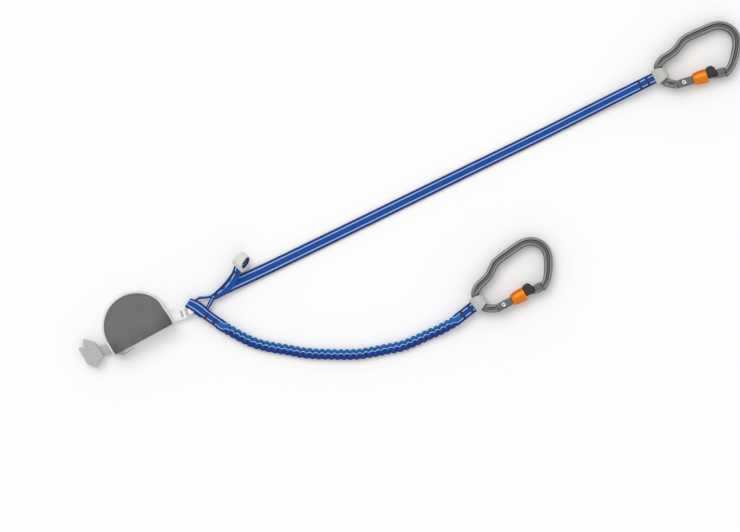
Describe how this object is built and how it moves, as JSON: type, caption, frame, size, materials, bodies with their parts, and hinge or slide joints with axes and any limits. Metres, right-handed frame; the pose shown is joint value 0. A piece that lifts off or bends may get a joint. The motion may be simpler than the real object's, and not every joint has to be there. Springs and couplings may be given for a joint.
{
  "type": "via ferrata lanyard",
  "caption": "Via ferrata lanyard: energy absorber in a zipped pouch, girth-hitched sling and elastic webbing arms ending in twist-lock carabiners.",
  "frame": {"origin": "on the surface it lies on, under the middle of the laid-out lanyard", "axes": "+X to the right and +Y up the page as seen from above, the hitch at the left and the carabiners to the right, +Z off the surface"},
  "size_m": [0.7679, 0.4012, 0.0253],
  "materials": {
    "pouch": "matt woven pouch fabric",
    "rim": "matt pale binding and zip tape",
    "slider": "dark metal zip slider",
    "tear": "white tear webbing",
    "tack": "dark elastic band",
    "sling": "grey woven sling strap",
    "link": "white woven sling webbing",
    "webbing": "blue woven webbing with pale stripes",
    "keeper": "pale soft rubber",
    "metal": "satin grey anodised",
    "steel": "bright turned steel",
    "barrel": "satin orange anodised",
    "collar": "black moulded nylon"
  },
  "bodies": {
    "absorber": {"pouch_front": "pouch", "pouch_back": "pouch", "pouch_gusset": "rim", "zip_teeth": "rim", "tear_webbing": "tear", "pack_band": "tack", "sling_strap": "sling", "hitch_band": "sling", "link_loop": "link"},
    "zip_slider_body": {"zip_slider": "slider"},
    "zip_puller_body": {"zip_puller": "slider"},
    "upper_arm": {"upper_inner_loop": "webbing", "upper_webbing": "webbing", "stub_loop": "webbing", "stub_keeper": "keeper", "upper_end_loop": "webbing", "upper_keeper": "keeper"},
    "lower_arm": {"lower_inner_loop": "webbing", "lower_webbing": "webbing", "lower_end_loop": "webbing", "lower_keeper": "keeper"},
    "upper_carabiner": {"upper_frame": "metal", "upper_hinge_rivet": "steel"},
    "upper_gate_body": {"upper_gate": "metal", "upper_gate_plunger": "steel", "upper_gate_collar": "collar", "upper_sleeve_spring": "steel"},
    "upper_sleeve_body": {"upper_sleeve_barrel": "barrel"},
    "lower_carabiner": {"lower_frame": "metal", "lower_hinge_rivet": "steel"},
    "lower_gate_body": {"lower_gate": "metal", "lower_gate_plunger": "steel", "lower_gate_collar": "collar", "lower_sleeve_spring": "steel"},
    "lower_sleeve_body": {"lower_sleeve_barrel": "barrel"}
  },
  "joints": [
    {"name": "zip_slide", "type": "slide", "parent": "absorber", "child": "zip_slider_body", "axis": [0.8797, 0.4756, 0], "range_m": [0, 0.062]},
    {"name": "zip_puller_swing", "type": "hinge", "parent": "zip_slider_body", "child": "zip_puller_body", "pos_m": [-0.33245, -0.18696, 0.0118], "axis": [0, 0, 1], "range_deg": [-170, 0]},
    {"name": "upper_arm_swing", "type": "hinge", "parent": "absorber", "child": "upper_arm", "pos_m": [-0.24705, -0.13213, 0], "axis": [0, 0, 1], "range_deg": [-4, 18]},
    {"name": "lower_arm_swing", "type": "hinge", "parent": "absorber", "child": "lower_arm", "pos_m": [-0.24705, -0.13213, 0], "axis": [0, 0, 1], "range_deg": [-20, 2]},
    {"name": "upper_carabiner_swing", "type": "hinge", "parent": "upper_arm", "child": "upper_carabiner", "pos_m": [0.29, 0.1379, 0.0091], "axis": [-0.4484, 0.8931, -0.0366], "range_deg": [-30, 30]},
    {"name": "upper_gate_hinge", "type": "hinge", "parent": "upper_carabiner", "child": "upper_gate_body", "pos_m": [0.31729, 0.12921, 0.00926], "axis": [0.0085, 0.0453, 0.9989], "range_deg": [0, 26], "stiffness_Nm_per_rad": 0.15, "springref_deg": -28.65},
    {"name": "upper_sleeve_twist", "type": "hinge", "parent": "upper_gate_body", "child": "upper_sleeve_body", "pos_m": [0.31729, 0.12921, 0.00926], "axis": [0.9578, 0.2865, -0.0212], "range_deg": [0, 100], "stiffness_Nm_per_rad": 0.02, "springref_deg": -28.65},
    {"name": "lower_carabiner_swing", "type": "hinge", "parent": "lower_arm", "child": "lower_carabiner", "pos_m": [0.0801, -0.1252, 0.0091], "axis": [-0.6161, 0.7869, -0.0366], "range_deg": [-30, 30]},
    {"name": "lower_gate_hinge", "type": "hinge", "parent": "lower_carabiner", "child": "lower_gate_body", "pos_m": [0.10857, -0.12832, 0.00926], "axis": [-0.0006, 0.046, 0.9989], "range_deg": [0, 26], "stiffness_Nm_per_rad": 0.15, "springref_deg": -28.65},
    {"name": "lower_sleeve_twist", "type": "hinge", "parent": "lower_gate_body", "child": "lower_sleeve_body", "pos_m": [0.10857, -0.12832, 0.00926], "axis": [0.8823, 0.4702, -0.0212], "range_deg": [0, 100], "stiffness_Nm_per_rad": 0.02, "springref_deg": -28.65}
  ]
}
